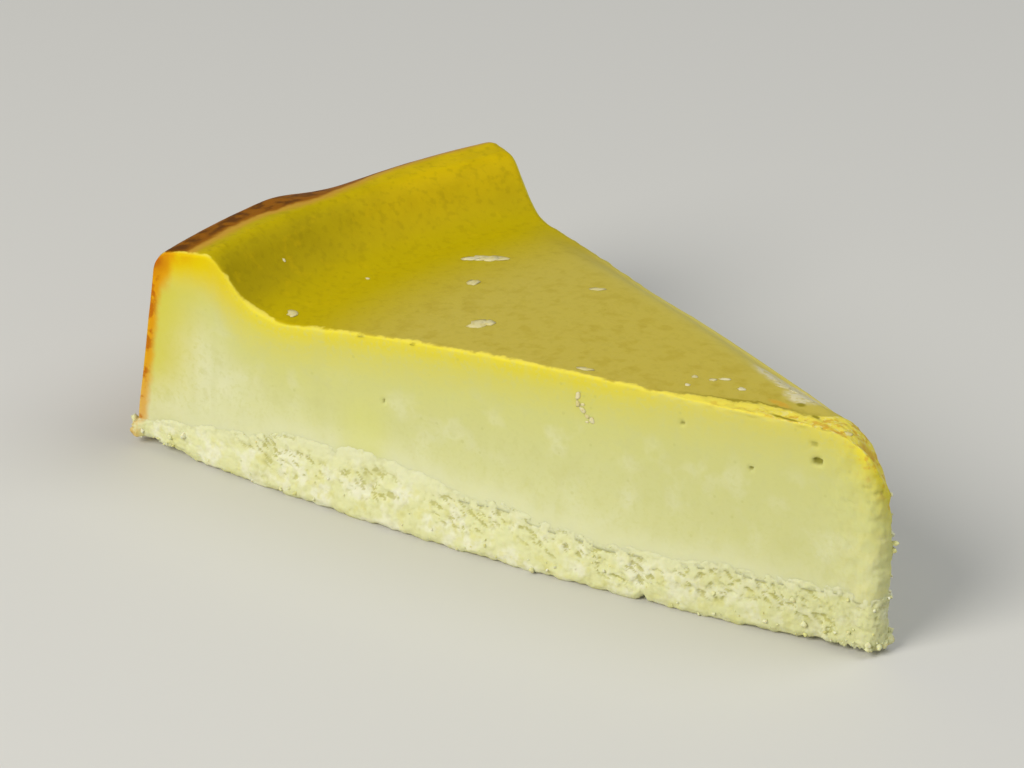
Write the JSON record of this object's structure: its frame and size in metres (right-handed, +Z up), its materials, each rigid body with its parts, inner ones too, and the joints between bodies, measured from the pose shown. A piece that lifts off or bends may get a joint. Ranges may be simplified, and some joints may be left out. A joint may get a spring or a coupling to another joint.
{
  "type": "green tea cheesecake slice",
  "caption": "Wedge cut from a round baked green tea cheesecake: pale crumb base, thick set filling, dished golden top and a raised browned rim.",
  "frame": {"origin": "On the table plane under the middle of the slice's box", "axes": "+X from the browned outer crust to the tip of the wedge, +Y to the left of that, away from the more bulged cut face, +Z up"},
  "size_m": [0.1326, 0.0717, 0.0364],
  "materials": {
    "crumb_base": "pressed pale biscuit crumb, dry and matte, with fine pores",
    "filling": "set green tea cheese filling, moist and satin on the cut faces, with a golden baked skin on top and a browned outer wall"
  },
  "bodies": {
    "root": {"crumb_base": "crumb_base", "cheesecake_filling": "filling"}
  },
  "joints": []
}
